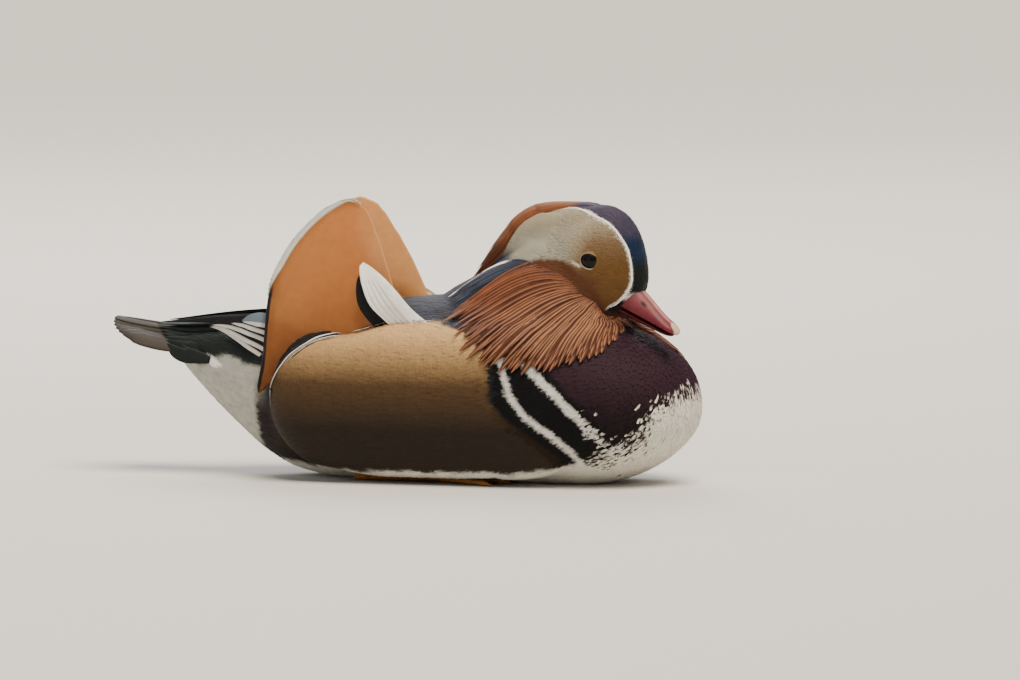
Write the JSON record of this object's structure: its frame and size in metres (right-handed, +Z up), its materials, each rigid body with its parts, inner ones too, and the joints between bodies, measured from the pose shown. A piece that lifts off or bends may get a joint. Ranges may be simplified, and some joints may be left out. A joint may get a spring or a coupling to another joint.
{
  "type": "mandarin duck model",
  "caption": "Life-size still model of a male mandarin duck resting on its belly as it floats, with raised orange sails, a crest and a ruff.",
  "frame": {"origin": "on the floor under the middle of the whole bird's box", "axes": "+X towards the breast and bill, +Y to the bird's left, +Z up"},
  "size_m": [0.328, 0.113, 0.1508],
  "materials": {
    "maroon_plumage": "glossed purple-maroon breast feathers",
    "mantle_plumage": "dark slate-green feathers with a soft sheen",
    "neck_plumage": "fine short feathers, blue-black above and rufous below",
    "flank_plumage": "golden-buff side feathers with fine dark vermiculation",
    "face_plumage": "very short cream and buff feathers",
    "bill_horn": "satin red keratin with a pale nail",
    "eye_wet": "wet dark brown eye",
    "crest_plumage": "long copper, white and blue-black crest feathers",
    "ruff_plumage": "pointed orange-brown hackles with pale shafts",
    "sail_feather": "broad orange feather with a cream fringe and a dark edge",
    "wing_feathers": "blue-black flight feathers with white edges",
    "scapular_feathers": "white feathers edged with black",
    "nape_plumage": "long blue-black and white plumes",
    "tail_feathers": "grey-brown tail feathers",
    "foot_skin": "dull orange-yellow webbed feet"
  },
  "bodies": {
    "root": {"breast": "maroon_plumage", "torso": "mantle_plumage", "neck": "neck_plumage", "head": "face_plumage", "bill_upper": "bill_horn", "bill_lower": "bill_horn", "crest": "crest_plumage", "tail": "tail_feathers", "flank_r": "flank_plumage", "eye_r": "eye_wet", "ruff_r": "ruff_plumage", "nape_r": "nape_plumage", "sail_r": "sail_feather", "wing_r": "wing_feathers", "scapulars_r": "scapular_feathers", "leg_r": "foot_skin", "foot_r": "foot_skin", "flank_l": "flank_plumage", "eye_l": "eye_wet", "ruff_l": "ruff_plumage", "nape_l": "nape_plumage", "sail_l": "sail_feather", "wing_l": "wing_feathers", "scapulars_l": "scapular_feathers", "leg_l": "foot_skin", "foot_l": "foot_skin"}
  },
  "joints": []
}
